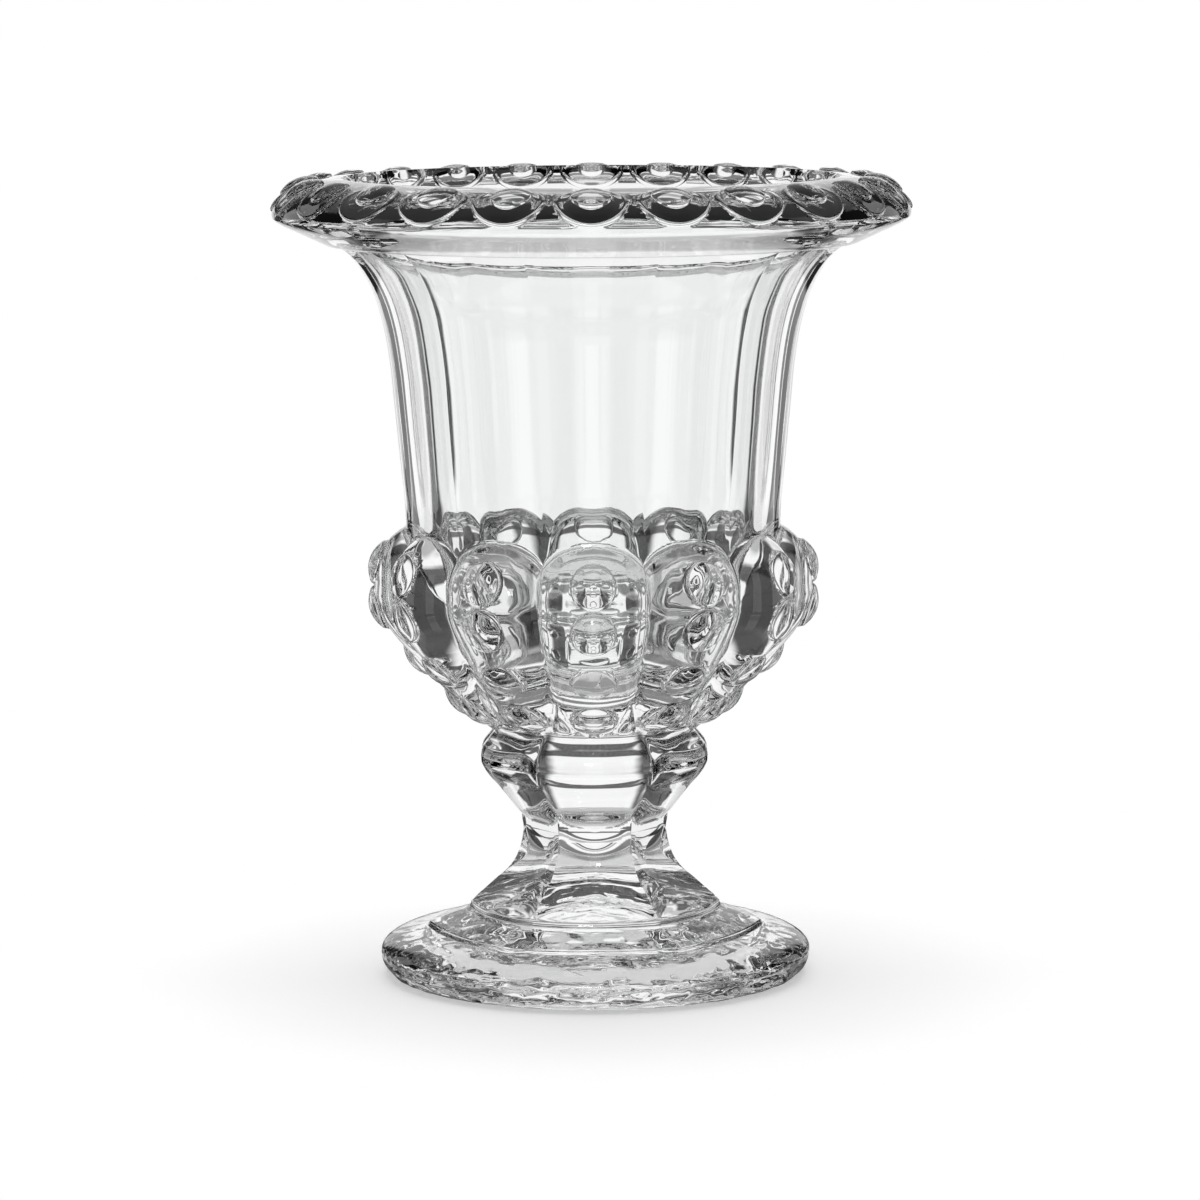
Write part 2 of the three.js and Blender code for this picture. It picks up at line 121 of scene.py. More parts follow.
TABLE_RADIUS = 4.0
TABLE_NEAR = 0.11
TABLE_FAR = 0.18
# Glow of the table near the vase: an even white lift where the camera sees it, and the painted rings of light and
# shade where the glass sees it
TABLE_GLOW = 0.3
TABLE_GLOW_SEEN = 0.5
# Painted caustic light and painted contact shadow on the table, in rings round the axis that only the glass sees:
# (distance from the axis in metres, light)
TABLE_PAINTED_LIGHT_RINGS_TOP = 0.7
TABLE_PAINTED_LIGHT_RINGS = (
    (0.000, 0.45), (0.028, 0.45), (0.034, 1.0), (0.060, 1.0), (0.063, 0.1), (0.072, 0.1), (0.077, 1.0),
    (0.082, 1.0), (0.093, 0.2), (0.135, 0.2), (0.155, 1.0), (0.205, 1.0), (0.220, 0.5), (0.270, 0.5),
    (0.290, 1.0), (0.310, 1.0), (0.330, 0.12), (0.430, 0.12), (0.460, 1.0),
)


class VaseSizes(bpy.types.PropertyGroup):
    """Sizes of the glass, in millimetres as it is measured."""

    steps: IntProperty(name="Steps round", description="Facets round the axis", default=192)
    steps_lobed: IntProperty(
        name="Steps round the cup", description="Facets round the lobed cup", default=288)
    crest_height: FloatProperty(
        name="Crest height", description="Height of the mouth's crest", default=248.9)
    crest_radius: FloatProperty(
        name="Crest radius", description="Radius of the mouth's crest", default=77.6)
    ring_radius: FloatProperty(
        name="Ring radius", description="Widest radius of the mouth ring", default=98.5)
    eye_count: IntProperty(name="Eyes", description="Eyes round the mouth ring", default=24)
    eye_radius: FloatProperty(
        name="Eye radius", description="Radius of an eye's low disc", default=10.9)
    cabochon_radius: FloatProperty(
        name="Cabochon radius", description="Radius of an eye's pupil", default=6.3)
    wall: FloatProperty(name="Wall", description="Thickness of the bowl's wall", default=7.4)
    wall_radius: FloatProperty(
        name="Wall radius", description="Outer radius of the wall", default=61.6)
    flute_count: IntProperty(name="Flutes", description="Flutes round the bowl", default=24)
    flute_depth: FloatProperty(
        name="Flute depth", description="How hollow each flute is", default=0.12)
    lobe_count: IntProperty(name="Lobes", description="Gadroons round the cup", default=12)
    lobe_radius: FloatProperty(
        name="Lobe radius", description="Roundness of a gadroon", default=18.2)
    lobe_reach: FloatProperty(
        name="Lobe reach", description="Widest radius of the cup", default=68.2)
    bead_radius: FloatProperty(name="Bead radius", description="Radius of a bead", default=7.0)
    knop_sides: IntProperty(
        name="Knop sides", description="Panels of the knop and faces of the foot", default=6)


def clear_selection():
    if bpy.context.object and bpy.context.object.mode != "OBJECT":
        bpy.ops.object.mode_set(mode="OBJECT")
    bpy.ops.object.select_all(action="DESELECT")


def activate(obj):
    clear_selection()
    obj.select_set(True)
    bpy.context.view_layer.objects.active = obj


def spline(points, per_span):
    """Smooth run of points through the given ones, per_span to each stretch."""
    out = []
    last = len(points) - 1
    for i in range(last):
        p0 = points[max(i - 1, 0)]
        p1, p2 = points[i], points[i + 1]
        p3 = points[min(i + 2, last)]
        for k in range(per_span):
            t = k / per_span
            out.append(tuple(
                0.5 * (2 * b + (c - a) * t + (2 * a - 5 * b + 4 * c - d) * t * t
                       + (3 * b - a - 3 * c + d) * t ** 3)
                for a, b, c, d in zip(p0, p1, p2, p3)))
    out.append(points[-1])
    return out


def off_centre(angle, count, shift=0.0):
    sector = TAU / count
    turn = angle + math.pi / 2 + shift
    return turn - sector * round(turn / sector)


def flat_side(off, count):
    return math.cos(math.pi / count) / math.cos(off)


def soft_max(first, second, blend):
    """The larger of two radii, with a small fillet where they cross."""
    share = min(max(0.5 + 0.5 * (first - second) / blend, 0), 1)
    return second + (first - second) * share + blend * share * (1 - share)


def bulge_depth(share, section):
    """Cross-section of a lobe or panel: rounded in front and steep at its sides."""
    edge, drop, roundness, power = section
    u = abs(share) / edge
    return 1 - drop * (roundness * u ** 2 + (1 - roundness) * u ** power)


def lobe_reach(axis, radius, section, off, tilt_cos=1.0, lift=0.0):
    """Distance from the vase's axis at angle off from the lobe's middle, and the section's depth."""
    low, high = 0.0, 1.3
    for _ in range(22):
        share = (low + high) / 2
        deep = radius * bulge_depth(share, section)
        out = axis + math.sqrt(max(deep * deep - lift * lift, 0)) * tilt_cos
        if radius * share < out * math.tan(off) and deep > lift:
            low = share
        else:
            high = share
    depth = bulge_depth(low, section)
    deep = radius * depth
    if deep <= lift * 1.0001:
        return 0.0, depth
    return (axis + math.sqrt(deep * deep - lift * lift) * tilt_cos) / math.cos(off), depth


def boss_profile(stations, radius, depth):
    """Outline of a round boss that reaches down into the surface it stands on."""
    foot = [(1.05 * radius, -0.1), (1.07 * radius, -0.3), (1.07 * radius, -depth), (0, -depth)]
    return ([(share * radius, height) for share, height in stations] + foot)[::-1]


def facing(radius, height, angle):
    return Vector((radius * math.sin(angle), -radius * math.cos(angle), height))


def turned(name, profile, steps, reshape=None):
    """Spins a profile of (radius, height) about Z into a closed solid; reshape may move each row."""
    rows = len(profile)
    mesh = bpy.data.meshes.new(name)
    start = [(r * MM, 0.0, z * MM) for r, z in profile]
    mesh.from_pydata(start, [(i, i + 1) for i in range(rows - 1)], [])
    obj = bpy.data.objects.new(name, mesh)
    bpy.context.scene.collection.objects.link(obj)
    activate(obj)
    row = mesh.attributes.new("row", "INT", "POINT")
    row.data.foreach_set("value", list(range(rows)))
    bpy.ops.object.mode_set(mode="EDIT")
    bpy.ops.mesh.select_all(action="SELECT")
    bpy.ops.mesh.spin(steps=steps, angle=TAU, center=(0, 0, 0), axis=(0, 0, 1), use_auto_merge=True)
    bpy.ops.mesh.select_all(action="SELECT")
    bpy.ops.mesh.remove_doubles(threshold=2e-7)
    bpy.ops.object.mode_set(mode="OBJECT")
    if reshape:
        values = mesh.attributes["row"].data
        for vertex in mesh.vertices:
            x, y, z = vertex.co
            angle = math.atan2(y, x)
            here = reshape(values[vertex.index].value, angle, math.hypot(x, y) / MM, z / MM)
            radius, height = here[:2]
            angle = here[2] if len(here) > 2 else angle
            vertex.co = (radius * MM * math.cos(angle), radius * MM * math.sin(angle), height * MM)
    mesh.attributes.remove(mesh.attributes["row"])
    close_up(obj)
    return obj


def close_up(obj):
    activate(obj)
    bpy.ops.object.mode_set(mode="EDIT")
    bpy.ops.mesh.select_all(action="SELECT")
    bpy.ops.mesh.normals_make_consistent(inside=False)
    bpy.ops.object.mode_set(mode="OBJECT")


def combine(obj, other, operation):
    """Joins or cuts with an exact closed-solid boolean, then drops the other object."""
    modifier = obj.modifiers.new("combine", "BOOLEAN")
    modifier.operation = operation
    modifier.solver = "MANIFOLD"
    modifier.object = other
    activate(obj)
    bpy.ops.object.modifier_apply(modifier=modifier.name)
    bpy.data.objects.remove(other, do_unlink=True)
    if not obj.data.polygons:
        raise RuntimeError("the boolean left nothing of " + obj.name)
    return obj


def ripple(obj, depth, length, weight=lambda place: 1.0):
    """Moves a surface in and out a little, as hot glass sets; waves in mm."""
    normals = [vertex.normal.copy() for vertex in obj.data.vertices]
    for vertex, normal in zip(obj.data.vertices, normals):
        height = noise.noise(vertex.co / (length * MM)) * depth * MM * weight(vertex.co)
        vertex.co += normal * height


def gathered(name, pieces):
    """Several closed shapes as one object, so that one boolean joins them all."""
    clear_selection()
    for piece in pieces:
        piece.select_set(True)
    bpy.context.view_layer.objects.active = pieces[0]
    bpy.ops.object.join()
    pieces[0].name = name
    return pieces[0]


def copy_round(source, count, start=0.0):
    """Copies of a shape turned evenly about the vase's axis, as one object."""
    pieces = [source]
    for i in range(1, count):
        other = source.copy()
        other.data = source.data.copy()
        other.data.transform(Matrix.Rotation(start + TAU * i / count, 4, "Z"))
        bpy.context.scene.collection.objects.link(other)
        pieces.append(other)
    return gathered(source.name, pieces)


def seated(obj, seat, normal, angle=0.0):
    """Tilts a shape made about Z so that its Z runs along normal, and moves it to its seat."""
    direction = facing(normal[0], normal[1], angle).normalized()
    turn = Vector((0, 0, 1)).rotation_difference(direction).to_matrix().to_4x4()
    place = Matrix.Translation(facing(seat[0], seat[1], angle) * MM)
    obj.data.transform(place @ turn)
    return obj


def inside_profile(sizes):
    """The smooth inside of the vase from the floor's middle up to just over the crest."""
    inner = sizes.wall_radius - sizes.wall
    floor = INSIDE_FLOOR
    top = sizes.crest_height
    return [
        (0, floor), (14, floor + 0.5), (26, floor + 2.2), (inner - 19, floor + 6.2),
        (inner - 12, floor + 12), (inner - 7.5, floor + 20), (inner - 4.8, floor + 30),
        (inner - 2.8, 145), (inner - 1.6, 160), (inner, 180), (inner + 2.3, 200),
        (inner + 4.5, 210), (inner + 7.2, 218), (inner + 10.8, 225), (inner + 15.2, 231.5),
        (inner + 19.2, 236.5), (sizes.crest_radius - 2.5, top - 8), (sizes.crest_radius - 1.7, top - 4),
        (sizes.crest_radius - 1.2, top - 1.2), (sizes.crest_radius - 0.5, top + 0.4),
    ]


def wall_profile(sizes):
    w = sizes.wall_radius
    return [
        (w - 3.6, 136), (w - 3.1, 148.7), (w - 1.8, 161.3), (w, 180), (w + 0.9, 190),
        (w + 2.2, 198.9), (w + 3.6, 205.5), (w + 6, 213.4), (w + 10, 220.8), (w + 13.9, 225.5),
        (w + 17.5, 228.3), (w + 22.4, 231.2), (w + 30, 234.5),
    ]


def fluted(sizes, angle, radius, height):
    edge = math.pi / sizes.flute_count
    off = off_centre(angle, sizes.flute_count, edge)
    hollow = radius * (1 + FLUTE_FLATNESS * (flat_side(off, sizes.flute_count) - 1))
    hollow -= sizes.flute_depth * (1 - (off / edge) ** 2)
    fade = min(max((232.5 - height) / 9, 0), 1) * min(max((height - 141) / 24, 0), 1)
    return radius + (hollow - radius) * fade


class RingFace:
    """The mouth ring's rounded outer face, crest to widest edge, by length along it."""

    def __init__(self, sizes):
        self.start = sizes.crest_radius - 0.8
        self.reach = sizes.ring_radius - self.start
        self.base = sizes.crest_height - RING_FACE_DROP
        self.stations = [(0.0, 0.0)]
        for i in range(1, 181):
            r1, z1 = self.at_turn(math.radians(i - 1) / 2)
            r2, z2 = self.at_turn(math.radians(i) / 2)
            length = self.stations[-1][0] + math.hypot(r2 - r1, z2 - z1)
            self.stations.append((length, math.radians(i) / 2))

    def at_turn(self, turn):
        return self.start + self.reach * math.sin(turn), self.base + RING_FACE_DROP * math.cos(turn)

    def turn_at(self, length):
        for (l1, t1), (l2, t2) in zip(self.stations, self.stations[1:]):
            if length <= l2:
                return t1 + (t2 - t1) * (length - l1) / (l2 - l1)
        return self.stations[-1][1] + (length - self.stations[-1][0]) / RING_FACE_DROP

    def drape(self, obj, centre):
        """Lays a boss made about Z over the face, centred at the given length down it."""
        for vertex in obj.data.vertices:
            up, across, lift = vertex.co / MM
            turn = self.turn_at(centre - up)
            radius, height = self.at_turn(turn)
            normal = Vector((math.sin(turn) / self.reach, math.cos(turn) / RING_FACE_DROP)).normalized()
            vertex.co = facing(radius + lift * normal.x, height + lift * normal.y, -across / radius) * MM
        return obj


class VASE_OT_glass(bpy.types.Operator):
    """Model the whole vase as one continuous piece of crystal"""

    bl_idname = "vase.glass"
    bl_label = "Model the crystal"

    def execute(self, context):
        sizes = context.scene.vase_sizes
        body = self.body(sizes)
        combine(body, self.beads(sizes), "UNION")
        combine(body, self.ring(sizes), "UNION")
        combine(body, self.eyes(sizes), "UNION")
        combine(body, self.pupils(sizes), "UNION")
        combine(body, self.knop(sizes), "UNION")
        combine(body, self.foot(sizes), "UNION")
        combine(body, self.hollow(sizes), "DIFFERENCE")
        body.name = "crystal_vase"
        close_up(body)
        activate(body)
        bpy.ops.object.shade_smooth_by_angle(angle=math.radians(32))
        body.data.materials.clear()
        body.data.materials.append(crystal())
        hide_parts("rim_collar", "bowl", "gadroon_cup", "joint_wafer", "stem_knop", "foot")
        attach(body, "root")
        return {"FINISHED"}

    def body(self, sizes):
        """Lobed cup and fluted wall as one skin, with fillets between the lobes and the wall."""
        axis, ball = sizes.lobe_reach - sizes.lobe_radius, sizes.lobe_radius
        bend, top, bottom = CUP_BEND, CUP_TOP, CUP_BOTTOM
        lower = spline([
            (20.5, bottom + 11.7, -58), (axis - 24.7, bend - 26, -50), (axis - 18, bend - 19.6, -47),
            (axis - 11, bend - 12.3, -44), (axis - 4.6, bend - 5.3, -40), (axis - 1, bend - 1.2, -27),
            (axis, bend, -13), (axis, bend, 0)], 5)
        shoulder = [bend + 1 + i for i in range(12)] + [top + 8.5 + 0.6 * i for i in range(20)]
        upper = spline(wall_profile(sizes), 3)
        wall_rows = [row for row in upper if row[1] > shoulder[-1] + 0.4]
        count = len(lower)
        half = math.pi / sizes.lobe_count

        def wall_at(height):
            for (r1, z1), (r2, z2) in zip(upper, upper[1:]):
                if z1 <= height <= z2:
                    return r1 + (r2 - r1) * (height - z1) / (z2 - z1)
            return upper[0][0]

        profile = [(0, 0)] + [(10, i + 1) for i in range(count)]
        profile += [(wall_at(z), z) for z in shoulder] + wall_rows + [(40, 235), (0, 235)]

        def lobe_low(row, off):
            centre, level, degrees = lower[row - 1]  # of the lobes' middle line
            tilt = math.radians(degrees)
            reach, depth = lobe_reach(centre, ball, CUP_SECTION, off, math.cos(tilt))
            return reach, max(level + ball * depth * math.sin(tilt), bottom)

        def reshape(row, angle, radius, height):
            if row == 0:
                return 0, bottom
            if row > count + len(shoulder) + len(wall_rows):
                return radius, height
            off = off_centre(angle, sizes.lobe_count)
            crowd = half * LOBE_CROWDING / math.pi * math.sin(math.pi * off / half)
            angle += crowd
            off = abs(off + crowd)
            if row <= count:
                (r1, z1), (r2, z2) = lobe_low(row, off), lobe_low(row, 2 * half - off)
                share = min(max(0.5 + 0.5 * (r1 - r2) / LOBE_FILLET, 0), 1)
                return soft_max(r1, r2, LOBE_FILLET), max(z1 * share + z2 * (1 - share), bottom), angle
            wall = fluted(sizes, angle, radius, height)
            if height > 143.5:
                return wall, height, angle
            lift = max(height - top, 0)
            r1, r2 = (lobe_reach(axis, ball, CUP_SECTION, o, 1.0, lift)[0] for o in (off, 2 * half - off))
            lobes = soft_max(r1, r2, LOBE_FILLET)
            return soft_max(lobes, wall, LOBE_FILLET), height, angle

        return turned("body", profile, sizes.steps_lobed, reshape)

    def hollow(self, sizes):
        inside = spline(inside_profile(sizes), 3)
        above = sizes.crest_height + 4
        profile = inside + [(sizes.crest_radius - 0.2, above), (0, above)]
        hollow = turned("hollow", profile, sizes.steps)
        ripple(hollow, 0.3, 13, lambda place: min(max((150 - place.z / MM) / 20, 0), 1))
        return hollow

    def dome(self, name, stations, radius, steps, curve_up, curve_across):
        """Round boss laid over a surface with the two given radii of curvature."""
        def laid(row, angle, reach, level):
            up, across = reach * math.cos(angle), reach * math.sin(angle)
            drop = up * up / (2 * curve_up) + across * across / (2 * curve_across)
            return reach, level - (drop if reach else 0)

        return turned(name, boss_profile(stations, radius, BOSS_DEPTH), steps, laid)

    def beads(self, sizes):
        axis = sizes.lobe_reach - sizes.lobe_radius
        # middle line's radius and height, tilt in degrees, radius of curvature up the lobe
        seats = [
            (axis, CUP_TOP, 17, 18), (axis, CUP_BEND, -17, 18),
            (axis - 8.4, 111, -43, 80), (axis - 20.6, 98.5, -46, 200),
        ]
        column = []
        for centre, level, degrees, curve in seats:
            tilt = math.radians(degrees)
            normal = (math.cos(tilt), math.sin(tilt))
            seat = (centre + sizes.lobe_radius * normal[0], level + sizes.lobe_radius * normal[1])
            bead = self.dome("bead", BEAD_STATIONS, sizes.bead_radius, BEAD_STEPS, curve, BEAD_CURVE_ACROSS)
            column.append(seated(bead, seat, normal))
        return copy_round(gathered("beads", column), sizes.lobe_count)

    def ring(self, sizes):
        face = RingFace(sizes)
        top, edge = sizes.crest_height, sizes.ring_radius
        outer = [face.at_turn(math.radians(5.625 * i)) for i in range(1, 17)]
        profile = [(0, top - 20.6), (50, top - 20.6)] + spline([
            (82.5, top - 20.2), (86.5, top - 18.3), (91, top - 16.2), (95, top - 14.4), (97.2, top - 13.1),
            (edge - 0.25, top - 12.2)], 3) + outer[::-1]
        profile += [(sizes.crest_radius - 0.8, top), (50, top), (0, top)]
        return turned("ring", profile, sizes.steps)

    def eyes(self, sizes):
        disc = turned("eye", boss_profile(EYE_STATIONS, sizes.eye_radius, BOSS_DEPTH), EYE_STEPS)
        disc.data.transform(Matrix.Diagonal((EYE_SQUASH, 1, 1, 1)))
        return copy_round(RingFace(sizes).drape(disc, EYE_PLACE), sizes.eye_count)

    def pupils(self, sizes):
        pupil = turned("pupil", boss_profile(PUPIL_STATIONS, sizes.cabochon_radius, BOSS_DEPTH), PUPIL_STEPS)
        return copy_round(RingFace(sizes).drape(pupil, PUPIL_PLACE), sizes.eye_count)

    def knop(self, sizes):
        sections = spline([
            (80.2, 31.5), (78.6, 31.4), (77.2, 32), (74.7, 34), (72.6, 35.6), (70.6, 36.2), (68.6, 36.2),
            (66.8, 35.9), (63.6, 34), (60.4, 31.1), (57.3, 28.6), (54.1, 26.1), (51.5, 24), (49.4, 21.5),
            (48.2, 19)], 3)[::-1]
        top = len(sections)
        half = math.pi / sizes.knop_sides

        def lobe_edge(row, angle, radius, height):
            if row == 0:
                return 0, 44
            if row == top + 3:
                return 0, 80.4
            off = off_centre(angle, sizes.knop_sides)
            if row <= 2:
                return NECK_APOTHEM * flat_side(off, sizes.knop_sides), (44, 46.5)[row - 1]
            level, reach = sections[row - 3]
            centre, r = KNOP_SHARES[0] * reach, KNOP_SHARES[1] * reach
            crowd = half * KNOP_CROWDING / math.pi * math.sin(math.pi * off / half)
            off = abs(off + crowd)
            reach = soft_max(
                lobe_reach(centre, r, KNOP_SECTION, off)[0],
                lobe_reach(centre, r, KNOP_SECTION, 2 * half - off)[0], KNOP_FILLET)
            core = min(NECK_APOTHEM + max(level - 45, 0) * 0.1, 23)
            return max(reach, core * flat_side(off, sizes.knop_sides)), level, angle + crowd

        profile = [(0, 0)] + [(10, i + 1) for i in range(top + 2)] + [(0, top + 3)]
        return turned("knop", profile, sizes.steps, lobe_edge)

    def foot(self, sizes):
        # (radius, height, how six-sided), from the neck down to the ground ring
        corner = spline([
            (NECK_APOTHEM, 47.5, 1), (NECK_APOTHEM, 45, 1), (23.2, 40.2, 1), (24.9, 35.9, 1), (27.5, 32.5, 1),
            (30.8, 29.7, 1), (34.6, 26.3, 0.9), (37.3, 24.0, 0.65), (38.7, 22.7, 0.4)], 3)
        corner += [(38.95, 22.3, 0.35), (38.9, 21.9, 0.35), (39.4, 20.8, 0.4)]
        band = spline([
            (39.6, 20.5, 0.4), (41.5, 19.7, 0.45), (44, 19, 0.5), (48, 17.5, 0.5), (50.8, 16.5, 0.48),
            (51.8, 16.1, 0.45)], 3)
        band += [(52.1, 15.8, 0.45), (52.1, 15.5, 0.45), (52.6, 14.7, 0.4)]
        disc = [(52.8, 14.55, 0.35), (54.4, 14.1, 0.2)]
        rim = spline([
            (56, 13.6), (60, 12.6), (62.7, 11.8), (65.2, 10.5), (66.7, 9), (67.2, 7.2),
            (66.8, 4.9), (65.6, 2.6), (63.7, 0.8), (61, 0)], 2)
        base = [(60, 0), (53, 0)] + spline([(52.4, 0.15), (50, 1.2), (47, 2.5), (30, 3.1), (0, 3.5)], 3)
        scooped_rows = 1 + len(corner)
        rows = [(0, 47.5, 1)] + corner + band + disc + [(r, z, 0) for r, z in rim + base]
        half = math.pi / sizes.knop_sides

        def scooped(row, angle, radius, height):
            flat = rows[row][2]
            off = off_centre(angle, sizes.knop_sides)
            scoop = 0.0
            if row < scooped_rows:
                swell = math.sin(math.pi * min(max((height - 22) / 23, 0), 1))
                scoop = FOOT_SCOOP * swell * (1 - (off / half) ** 2)
            return radius * (1 + (flat_side(off, sizes.knop_sides) - 1) * flat) - scoop * flat, height

        foot = turned("foot_glass", [(r, z) for r, z, _ in rows], sizes.steps, scooped)

        def near_edge(place):
            """Only the disc's edge is uneven; the ground ring stays flat."""
            return min(max((6 - place.z / MM) / 4, 0), 1) if place.z > 0.3 * MM else 0.0

        ripple(foot, 0.35, 6, near_edge)
        return foot


def new_material(name):
    material = bpy.data.materials.new(name)
    material.use_nodes = True
    material.node_tree.nodes.clear()
    return material, material.node_tree.nodes, material.node_tree.links


def ramp(nodes, links, value, stops, top):
    """Colour ramp through (place, level) stops, its places shared out over 0 to top."""
    node = nodes.new("ShaderNodeValToRGB")
    bands = node.color_ramp.elements
    while len(bands) < len(stops):
        bands.new(0.5)
    for band, (place, level) in zip(bands, stops):
        band.position = place / top
        band.color = (level, level, level, 1)
    links.new(value, node.inputs["Fac"])
    return node.outputs["Color"]


def maths(nodes, links, operation, *values):
    """Result of a maths node whose values are numbers or sockets."""
    node = nodes.new("ShaderNodeMath")
    node.operation = operation
    for socket, value in zip(node.inputs, values):
        if isinstance(value, (int, float)):
            socket.default_value = value
        else:
            links.new(value, socket)
    return node.outputs[0]


def fade(nodes, links, value, start, end, low=0.0, high=1.0):
    """Smooth change from low to high while value goes from start to end."""
    node = nodes.new("ShaderNodeMapRange")
    node.interpolation_type = "SMOOTHSTEP"
    links.new(value, node.inputs["Value"])
    for name, amount in (("From Min", start), ("From Max", end), ("To Min", low), ("To Max", high)):
        node.inputs[name].default_value = amount
    return node.outputs["Result"]


def fire_polish():
    """Node group: the faint unevenness of fire-polished glass, as a bump normal and a roughness."""
    group = bpy.data.node_groups.new("Fire polish", "ShaderNodeTree")
    for name, value in (("Waviness", 0.02), ("Scale", 60.0), ("Swirl", 0.2), ("Swirl scale", 150.0), ("Haze", 0.01)):
        socket = group.interface.new_socket(name, in_out="INPUT", socket_type="NodeSocketFloat")
        socket.default_value = value
    group.interface.new_socket("Normal", in_out="OUTPUT", socket_type="NodeSocketVector")
    group.interface.new_socket("Roughness", in_out="OUTPUT", socket_type="NodeSocketFloat")
    nodes, links = group.nodes, group.links
    entry, leave = nodes.new("NodeGroupInput"), nodes.new("NodeGroupOutput")
    place = nodes.new("ShaderNodeTexCoord").outputs["Object"]
    axes = nodes.new("ShaderNodeSeparateXYZ")
    links.new(place, axes.inputs[0])
    height = axes.outputs["Z"]

    # A gentle wave all over the glass
    wave = nodes.new("ShaderNodeTexNoise")
    wave.inputs["Detail"].default_value = 1.5
    links.new(place, wave.inputs["Vector"])
    links.new(entry.outputs["Scale"], wave.inputs["Scale"])
    gentle = maths(nodes, links, "MULTIPLY", wave.outputs["Fac"], entry.outputs["Waviness"])

    # A swirl where the glass was pressed, drawn out upwards and squeezed at the disc's edge
    low = maths(nodes, links, "MINIMUM", height, DISC_EDGE_TOP)
    longer = maths(nodes, links, "MULTIPLY", height, SWIRL_STRETCH)
    stretched = nodes.new("ShaderNodeCombineXYZ")
    for side in ("X", "Y"):
        links.new(axes.outputs[side], stretched.inputs[side])
    links.new(maths(nodes, links, "MULTIPLY_ADD", low, DISC_SWIRL_SQUEEZE, longer), stretched.inputs["Z"])
    swirl = nodes.new("ShaderNodeTexNoise")
    swirl.inputs["Detail"].default_value = 0.0
    swirl.inputs["Distortion"].default_value = 0.6
    links.new(stretched.outputs["Vector"], swirl.inputs["Vector"])
    links.new(entry.outputs["Swirl scale"], swirl.inputs["Scale"])
    share = maths(nodes, links, "DIVIDE", height, SWIRL_TOP)
    pressed = ramp(nodes, links, share, SWIRL_BY_HEIGHT, SWIRL_TOP)
    deeper = maths(nodes, links, "MULTIPLY", swirl.outputs["Fac"], entry.outputs["Swirl"])
    masked = maths(nodes, links, "MULTIPLY", deeper, pressed)

    bump = nodes.new("ShaderNodeBump")
    bump.inputs["Distance"].default_value = 0.001
    links.new(maths(nodes, links, "ADD", gentle, masked), bump.inputs["Height"])
    links.new(bump.outputs["Normal"], leave.inputs["Normal"])

    mark = nodes.new("ShaderNodeTexNoise")
    mark.inputs["Scale"].default_value = 900.0
    links.new(place, mark.inputs["Vector"])
    haze = maths(nodes, links, "MULTIPLY", mark.outputs["Fac"], entry.outputs["Haze"])
    links.new(haze, leave.inputs["Roughness"])
    return group


def crystal():
    material, nodes, links = new_material("clear_crystal")
    surface = nodes.new("ShaderNodeBsdfPrincipled")
    surface.inputs["Base Color"].default_value = (0.985, 0.992, 0.99, 1)
    surface.inputs["Metallic"].default_value = 0.0
    surface.inputs["Transmission Weight"].default_value = 1.0
    surface.inputs["IOR"].default_value = GLASS_IOR
    polish = nodes.new("ShaderNodeGroup")
    polish.node_tree = fire_polish()
    polish.inputs["Waviness"].default_value = 0.03
    polish.inputs["Scale"].default_value = 60.0
    polish.inputs["Swirl"].default_value = 0.6
    polish.inputs["Swirl scale"].default_value = 150.0
    polish.inputs["Haze"].default_value = 0.004
    passing = nodes.new("ShaderNodeBsdfTransparent")
    passing.inputs["Color"].default_value = GLASS_SHADOW
    path = nodes.new("ShaderNodeLightPath")
    both = nodes.new("ShaderNodeMixShader")
    out = nodes.new("ShaderNodeOutputMaterial")
    links.new(polish.outputs["Normal"], surface.inputs["Normal"])
    links.new(polish.outputs["Roughness"], surface.inputs["Roughness"])
    links.new(path.outputs["Is Shadow Ray"], both.inputs["Fac"])
    links.new(surface.outputs["BSDF"], both.inputs[1])
    links.new(passing.outputs["BSDF"], both.inputs[2])
    links.new(both.outputs["Shader"], out.inputs["Surface"])
    return material


def tent():
    """Node group: the light of a tent of white cards with dark gaps, by direction."""
    group = bpy.data.node_groups.new("White tent", "ShaderNodeTree")
    group.interface.new_socket("Direction", in_out="INPUT", socket_type="NodeSocketVector")
    group.interface.new_socket("Light", in_out="OUTPUT", socket_type="NodeSocketFloat")
    nodes, links = group.nodes, group.links
    entry, leave = nodes.new("NodeGroupInput"), nodes.new("NodeGroupOutput")
    unit = nodes.new("ShaderNodeVectorMath")
    unit.operation = "NORMALIZE"
    links.new(entry.outputs["Direction"], unit.inputs[0])
    axes = nodes.new("ShaderNodeSeparateXYZ")
    links.new(unit.outputs["Vector"], axes.inputs[0])
    azimuth = maths(nodes, links, "ARCTAN2", axes.outputs["X"], axes.outputs["Y"])
    turn = maths(nodes, links, "PINGPONG", azimuth, CARD_TURN / 2)
    narrow = fade(nodes, links, turn, *CARD_EDGE, 1.0, 0.0)
    wide = fade(nodes, links, maths(nodes, links, "ABSOLUTE", azimuth), *BACK_CARD_EDGE, 1.0, 0.0)
    card = maths(nodes, links, "MAXIMUM", narrow, wide)
    low = maths(nodes, links, "MULTIPLY_ADD", card, 1.0 - GAP_LIGHT, GAP_LIGHT)
    over = fade(nodes, links, axes.outputs["Z"], *CARD_TOP)
    below = maths(nodes, links, "MULTIPLY", low, maths(nodes, links, "SUBTRACT", 1.0, over))
    ceiling = maths(nodes, links, "MULTIPLY", over, fade(nodes, links, wide, 0.0, 1.0, *CEILING_LIGHT))
    around = maths(nodes, links, "ADD", below, ceiling)
    room = fade(nodes, links, axes.outputs["Y"], *ROOM_EDGE, ROOM_LIGHT, 1.0)
    links.new(maths(nodes, links, "MULTIPLY", around, room), leave.inputs["Light"])
    return group


